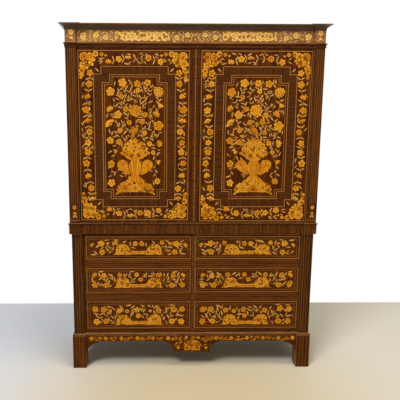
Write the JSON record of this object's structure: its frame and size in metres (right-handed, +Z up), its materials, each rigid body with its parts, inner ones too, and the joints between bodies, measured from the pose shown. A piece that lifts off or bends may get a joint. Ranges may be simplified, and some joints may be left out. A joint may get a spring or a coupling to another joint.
{
  "type": "marquetry press cupboard",
  "caption": "Tall two-stage marquetry cupboard: paired doors over paired doors dressed as drawers, on square feet with a shaped apron.",
  "frame": {"origin": "on the floor under the middle of the outer box, which the cornice and the back set", "axes": "+Z up, -Y out of the front, +X to the right as one faces the doors"},
  "size_m": [1.546, 0.528, 2.083],
  "materials": {
    "rosewood_veneer": "dark red-brown veneer, waxed, satin",
    "dark_moulding": "dark stained cross-grained moulding, waxed, satin",
    "inlay": "golden satinwood and maple marquetry, waxed, satin",
    "oak": "plain sawn oak, dry and dull",
    "brass": "rubbed brass",
    "aged_brass": "old brass with a grey-green skin",
    "steel": "old filed steel"
  },
  "bodies": {
    "cabinet": {"foot_front_left": "rosewood_veneer", "foot_front_right": "rosewood_veneer", "back_feet": "rosewood_veneer", "apron_front": "rosewood_veneer", "apron_sides": "rosewood_veneer", "base_moulding": "dark_moulding", "lower_bottom_board": "oak", "lower_side_left": "rosewood_veneer", "lower_side_right": "rosewood_veneer", "lower_pilaster_left": "rosewood_veneer", "lower_pilaster_right": "rosewood_veneer", "lower_back_boards": "oak", "lower_shelf": "oak", "lower_top_board": "oak", "waist_frame": "dark_moulding", "upper_bottom_board": "dark_moulding", "upper_side_left": "rosewood_veneer", "upper_side_right": "rosewood_veneer", "upper_pilaster_left": "rosewood_veneer", "upper_pilaster_right": "rosewood_veneer", "upper_head_rail": "oak", "upper_top_board": "oak", "upper_back_boards": "oak", "upper_shelf_low": "oak", "upper_shelf_middle": "oak", "upper_shelf_high": "oak", "shelf_cleats": "oak", "frieze_board": "rosewood_veneer", "frieze_blocks": "rosewood_veneer", "bead_moulding": "dark_moulding", "cornice_moulding": "dark_moulding", "cornice_top_board": "oak", "hinge_pin_plates": "brass"},
    "upper_left_leaf": {"upper_left_door_frame": "rosewood_veneer", "upper_left_door_panel": "rosewood_veneer", "upper_left_hinge_plates": "brass", "upper_left_bolt_plates": "brass"},
    "upper_right_leaf": {"upper_right_door_frame": "rosewood_veneer", "upper_right_door_panel": "rosewood_veneer", "upper_right_hinge_plates": "brass", "upper_astragal": "dark_moulding", "upper_lock_case": "aged_brass", "upper_escutcheon": "aged_brass"},
    "lower_left_leaf": {"lower_left_door": "rosewood_veneer", "lower_left_hinge_plates": "brass", "lower_left_bolt_plates": "brass"},
    "lower_right_leaf": {"lower_right_door": "rosewood_veneer", "lower_right_hinge_plates": "brass", "lower_meeting_bead": "dark_moulding", "lower_lock_cases": "aged_brass", "lower_escutcheons": "aged_brass"},
    "upper_top_slip_bolt": {"upper_top_slip_bolt": "brass"},
    "upper_bottom_slip_bolt": {"upper_bottom_slip_bolt": "brass"},
    "lower_top_slip_bolt": {"lower_top_slip_bolt": "brass"},
    "lower_bottom_slip_bolt": {"lower_bottom_slip_bolt": "brass"},
    "upper_lock_bolt": {"upper_lock_bolt": "steel"},
    "lower_top_lock_bolt": {"lower_top_lock_bolt": "steel"},
    "lower_bottom_lock_bolt": {"lower_bottom_lock_bolt": "steel"}
  },
  "joints": [
    {"name": "upper_left_leaf_hinge", "type": "hinge", "parent": "cabinet", "child": "upper_left_leaf", "pos_m": [-0.6625, -0.216, 1.444], "axis": [0, 0, -1], "range_deg": [0, 105]},
    {"name": "upper_right_leaf_hinge", "type": "hinge", "parent": "cabinet", "child": "upper_right_leaf", "pos_m": [0.6625, -0.216, 1.444], "axis": [0, 0, 1], "range_deg": [0, 105]},
    {"name": "lower_left_leaf_hinge", "type": "hinge", "parent": "cabinet", "child": "lower_left_leaf", "pos_m": [-0.6515, -0.2075, 0.5455], "axis": [0, 0, -1], "range_deg": [0, 105]},
    {"name": "lower_right_leaf_hinge", "type": "hinge", "parent": "cabinet", "child": "lower_right_leaf", "pos_m": [0.6515, -0.2075, 0.5455], "axis": [0, 0, 1], "range_deg": [0, 105]},
    {"name": "upper_top_slip_bolt_slide", "type": "slide", "parent": "upper_left_leaf", "child": "upper_top_slip_bolt", "axis": [0, 0, 1], "range_m": [0, 0.01]},
    {"name": "upper_bottom_slip_bolt_slide", "type": "slide", "parent": "upper_left_leaf", "child": "upper_bottom_slip_bolt", "axis": [0, 0, -1], "range_m": [0, 0.01]},
    {"name": "lower_top_slip_bolt_slide", "type": "slide", "parent": "lower_left_leaf", "child": "lower_top_slip_bolt", "axis": [0, 0, 1], "range_m": [0, 0.01]},
    {"name": "lower_bottom_slip_bolt_slide", "type": "slide", "parent": "lower_left_leaf", "child": "lower_bottom_slip_bolt", "axis": [0, 0, -1], "range_m": [0, 0.01]},
    {"name": "upper_lock_bolt_slide", "type": "slide", "parent": "upper_right_leaf", "child": "upper_lock_bolt", "axis": [-1, 0, 0], "range_m": [0, 0.01]},
    {"name": "lower_top_lock_bolt_slide", "type": "slide", "parent": "lower_right_leaf", "child": "lower_top_lock_bolt", "axis": [-1, 0, 0], "range_m": [0, 0.01]},
    {"name": "lower_bottom_lock_bolt_slide", "type": "slide", "parent": "lower_right_leaf", "child": "lower_bottom_lock_bolt", "axis": [-1, 0, 0], "range_m": [0, 0.01]}
  ]
}
